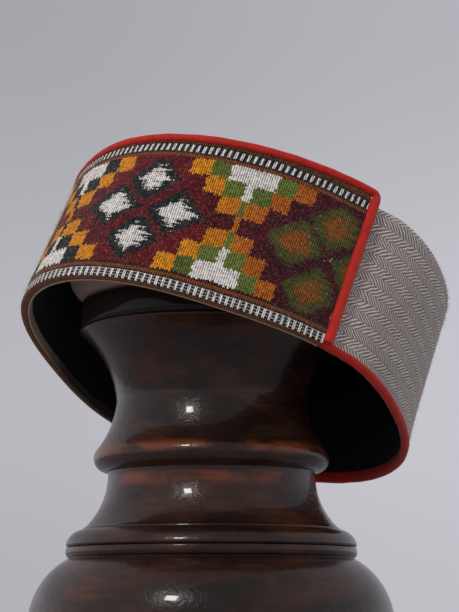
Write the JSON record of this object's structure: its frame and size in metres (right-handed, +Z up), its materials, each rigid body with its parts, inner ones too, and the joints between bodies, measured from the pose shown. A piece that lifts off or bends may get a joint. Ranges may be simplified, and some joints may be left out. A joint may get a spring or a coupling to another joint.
{
  "type": "patterned wool cap on a turned wood stand",
  "caption": "Soft round wool cap with a woven patterned front band, red piping and a bound rim, tilted back on a turned wooden stand with a soft pad.",
  "frame": {"origin": "centre of the underside of the stand's foot", "axes": "+Z up along the stand's turned axis; the cap's front faces -Y and +X is the side of the band's visible end"},
  "size_m": [0.1884, 0.2201, 0.2552],
  "materials": {
    "stand_wood": "dark brown turned hardwood under glossy varnish",
    "pad_cloth": "pale pinkish beige padded cloth",
    "wool_tweed": "taupe grey broken herringbone wool, slightly fuzzy",
    "lining_cloth": "plain black cotton, matt",
    "band_weave": "hand-woven wool band in maroon, mustard, green, black and white",
    "facing_tape": "plain beige cotton tape",
    "red_trim": "coral red folded cotton trim"
  },
  "bodies": {
    "root": {"stand_base": "stand_wood", "stand_column": "stand_wood", "stand_pad": "pad_cloth", "tweed_wall": "wool_tweed", "tweed_crown": "wool_tweed", "lining": "lining_cloth", "front_band": "band_weave", "band_facing": "facing_tape", "rim_binding": "red_trim", "band_piping": "red_trim"}
  },
  "joints": []
}
